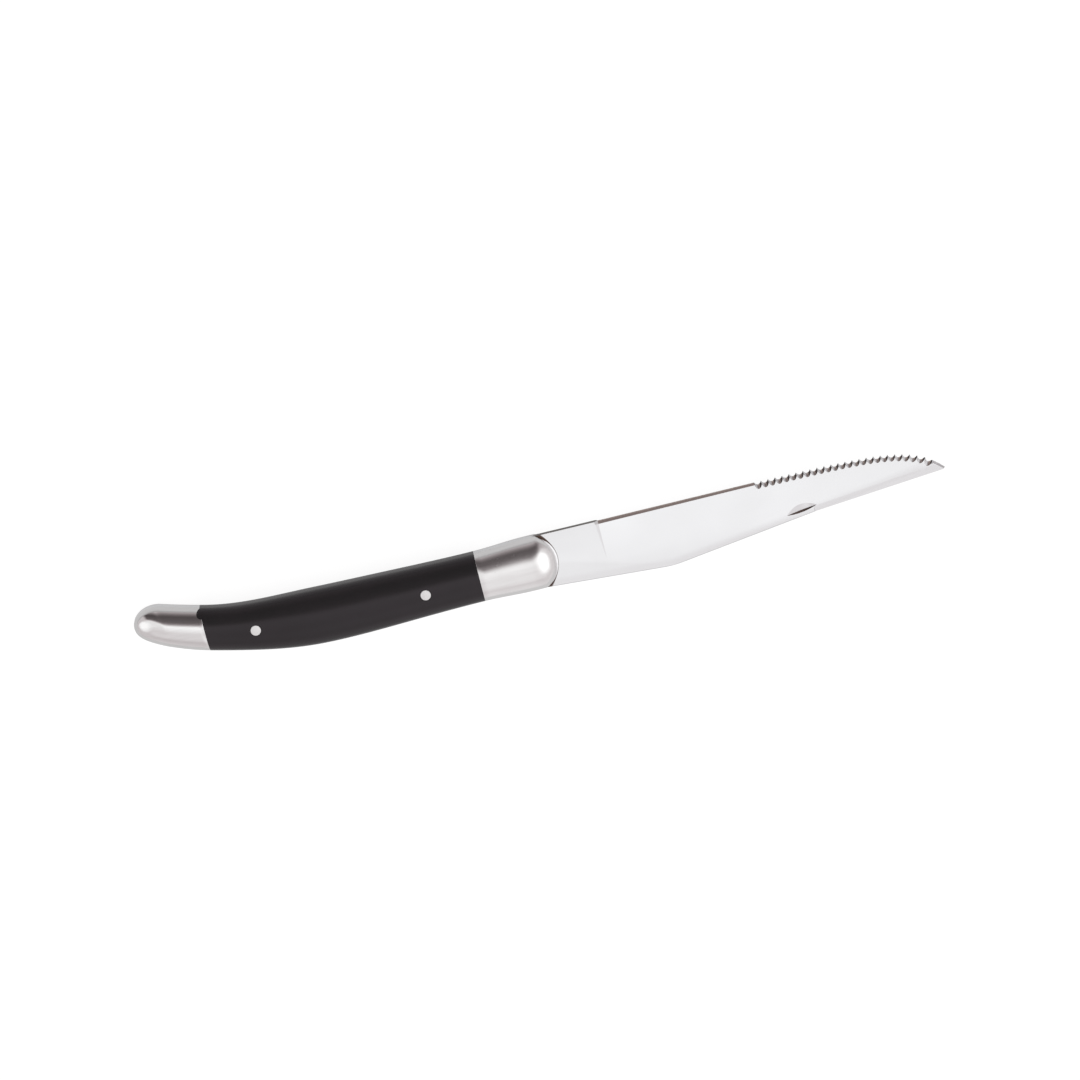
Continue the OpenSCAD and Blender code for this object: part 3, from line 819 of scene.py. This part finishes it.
room_behind = draw_square("room_behind")
room_size = (centre_line(REAR_JOINT_X), 2 * BELLY_HALF_HEIGHT, 2 * BELLY_BULGE)
pull_through([(x, *room_size) for x in (scale_end_x - SPARE, REAR_JOINT_X)], MIDDLE_Z)
close_cutter()
lug_top_z = MIDDLE_Z + 3 * BELLY_BULGE
cut(room_behind, add_rod("lug", lug_x, lug_y, LUG_RADIUS, PLATE_TOP_Z, lug_top_z))
cut(left_scale, room_behind)
tang_room = draw_square("tang_room")
tang_places = [scale_end_x - SPARE, *scale_places[1:-1], FRONT_JOINT_X + SPARE]
tang_size = (TANG_HALF_HEIGHT, PLATE_TOP_Z - MIDDLE_Z)
pull_through([(x, centre_line(x), *tang_size) for x in tang_places], MIDDLE_Z)
close_cutter()
cut(left_scale, tang_room)
for pin_x in (FRONT_PIN_X, REAR_PIN_X):
    pin_place = (pin_x, centre_line(pin_x))
    cut(left_scale, add_rod("pin_hole", *pin_place, PIN_HOLE_RADIUS, CUTTER_FOOT_Z, top_z))
bpy.ops.object.mode_set(mode="EDIT")
soften_joint(REAR_JOINT_X, MIDDLE_Z, (lug_x, lug_y, LUG_RADIUS + MERGE_REACH))
soften_joint(FRONT_JOINT_X, MIDDLE_Z)
finish_shape(left_scale, black_plastic())
right_scale = right_hand(left_scale, "right_scale")
for piece, node in ((left_scale, "scale_left"), (right_scale, "scale_right")):
    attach(piece, "root")
    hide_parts(node)


# End caps: two pieces of stainless steel, brazed to the plate behind the scales and turned
# down to a rounded butt, with a round notch for the scale's lug and the bolsters' polish.
CAP_HALF_HEIGHT = 5.65 * MM
ROUND_LENGTH = 8.6 * MM
ROUND_POWER = 1.8
BLUNT_POWER = 2.15
BUTT_DROOP = 2.2 * MM
LUG_GAP = 0.05 * MM
CAP_STEPS = 8
BUTT_STEPS = 18
# The caps' steel is the bolsters' polish painted a little darker, as painted shade for the light
# that falls off towards the butt.
SHADED_CAP_STEEL = (0.80, 0.79, 0.79, 1)
CAP_ROUGHNESS = 0.12


def cap_station(x):
    """The end caps' half section at a place: level behind the joint, then rounded off."""
    share = (REAR_JOINT_X - x) / (REAR_JOINT_X - BUTT_X)
    into_butt = max(0, (BUTT_X + ROUND_LENGTH - x) / ROUND_LENGTH)
    left = (1 - into_butt**ROUND_POWER) ** (1 / BLUNT_POWER)
    height = between(REAR_HALF_HEIGHT, CAP_HALF_HEIGHT, eased(share))
    return x, centre_line(x) - BUTT_DROOP * into_butt**2, height * left, REAR_BULGE * left


round_x = BUTT_X + ROUND_LENGTH
cap_places = [between(REAR_JOINT_X, round_x, step / CAP_STEPS) for step in range(CAP_STEPS + 1)]
butt_lefts = [math.cos(math.radians(90) * step / BUTT_STEPS) for step in range(1, BUTT_STEPS)]
cap_places += [
    round_x - ROUND_LENGTH * (1 - left**BLUNT_POWER) ** (1 / ROUND_POWER) for left in butt_lefts
]
left_cap = draw_half_section("left_cap")
pull_through([cap_station(x) for x in cap_places], PLATE_TOP_Z)
close_up(BUTT_X, centre_line(BUTT_X) - BUTT_DROOP, PLATE_TOP_Z)
bpy.ops.object.mode_set(mode="OBJECT")
notch_radius = LUG_RADIUS + LUG_GAP
cut(left_cap, add_rod("notch", lug_x, lug_y, notch_radius, CUTTER_FOOT_Z, top_z))
cut_dowel_hole(left_cap, "cap_dowel")
bpy.ops.object.mode_set(mode="EDIT")
soften_joint(REAR_JOINT_X, PLATE_TOP_Z, (lug_x, lug_y, notch_radius + MERGE_REACH))
finish_shape(left_cap, polished_steel("shaded_cap_steel", SHADED_CAP_STEEL, CAP_ROUGHNESS))
right_cap = right_hand(left_cap, "right_cap")
for piece, node in ((left_cap, "end_cap_left"), (right_cap, "end_cap_right")):
    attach(piece, "root")
    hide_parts(node)


# Pins: two rods of stainless steel through both scales and the tang. Their ends are hammered
# a little wider, ground flush with the scales and left with a dull sanded face.
PIN_EDGE = 0.08 * MM
CROWN_RADIUS = 14 * MM
CROWN_RINGS = 4
PIN_STEEL = (0.79, 0.78, 0.78, 1)
PIN_ROUGHNESS = 0.32
SANDED_LINES = (600, 9000, 400)
PIN_HAZE = (700, 700, 700)


def sanded_steel():
    """Steel sanded across, with the scales' polishing haze on it."""
    material, steel = new_finish("pin_steel")
    place = steel.node("ShaderNodeTexCoord", {}, {}, "Object")
    fine = noise(steel, place, SANDED_LINES)
    haze = noise(steel, place, PIN_HAZE, detail=3.0)
    toned = shaded(steel, PIN_STEEL[:3], 1 + 0.12 * (fine - 0.5) - 0.12 * (haze - 0.5))
    rough = PIN_ROUGHNESS + 0.15 * (fine - 0.5) + 0.1 * (haze - 0.5)
    bumps = relief(steel, fine, strength=0.15, distance=0.006 * MM)
    surface(steel, {"Base Color": toned, "Metallic": 1.0, "Roughness": rough, "Normal": bumps})
    return material


def crown(top, rise):
    """Crowns the end of a pin: its face is inset ring by ring, and each ring is pushed out."""
    select_where(lambda face: face.normal.z * rise > LEVEL_FACE, "FACE")
    ring_width = (PIN_RADIUS - PIN_EDGE) / CROWN_RINGS
    level = top
    for ring in range(CROWN_RINGS):
        inset = PIN_EDGE if ring == 0 else ring_width
        bpy.ops.mesh.inset(thickness=inset, depth=0)
        radius = PIN_RADIUS - PIN_EDGE - ring * ring_width
        new_level = math.sqrt(CROWN_RADIUS**2 - radius**2) - CROWN_RADIUS
        bpy.ops.transform.translate(value=(0, 0, rise * (new_level - level)))
        level = new_level


sanded = sanded_steel()
rim = math.sqrt(CROWN_RADIUS**2 - PIN_RADIUS**2) - CROWN_RADIUS - PIN_EDGE
pins = (("front_rod", "front_pin", FRONT_PIN_X), ("rear_rod", "rear_pin", REAR_PIN_X))
for name, node, pin_x in pins:
    low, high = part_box(node)
    rod = add_rod(name, pin_x, centre_line(pin_x), PIN_RADIUS, low.z - rim, high.z + rim)
    bpy.ops.object.mode_set(mode="EDIT")
    crown(rim, 1)
    crown(rim, -1)
    finish_shape(rod, sanded)
    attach(rod, "root")
    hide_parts(node)


# Dowels: two short rods of drawn steel that hold each pair of bolsters and caps in line on the
# plate while they are brazed. They stay out of sight inside, so they are the CAD's own solids.
DRAWN_STEEL = (0.55, 0.54, 0.54, 1)
DRAWN_ROUGHNESS = 0.35
DRAWN_LINES = (7000, 7000, 300)
BRAZING_SCALE = (900, 900, 900)


def drawn_steel():
    """Bright drawn rod: fine lines along the rod, under a little brazing scale."""
    material, steel = new_finish("drawn_steel")
    place = steel.node("ShaderNodeTexCoord", {}, {}, "Object")
    fine = noise(steel, place, DRAWN_LINES)
    patches = noise(steel, place, BRAZING_SCALE, detail=3.0)
    toned = shaded(steel, DRAWN_STEEL[:3], 1 + 0.15 * (fine - 0.5) - 0.3 * (patches - 0.5))
    rough = DRAWN_ROUGHNESS + 0.2 * (patches - 0.5)
    surface(steel, {"Base Color": toned, "Metallic": 1.0, "Roughness": rough})
    return material


drawn = drawn_steel()
for node in ("bolster_dowel", "cap_dowel"):
    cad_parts[node].data.materials.clear()
    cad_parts[node].data.materials.append(drawn)
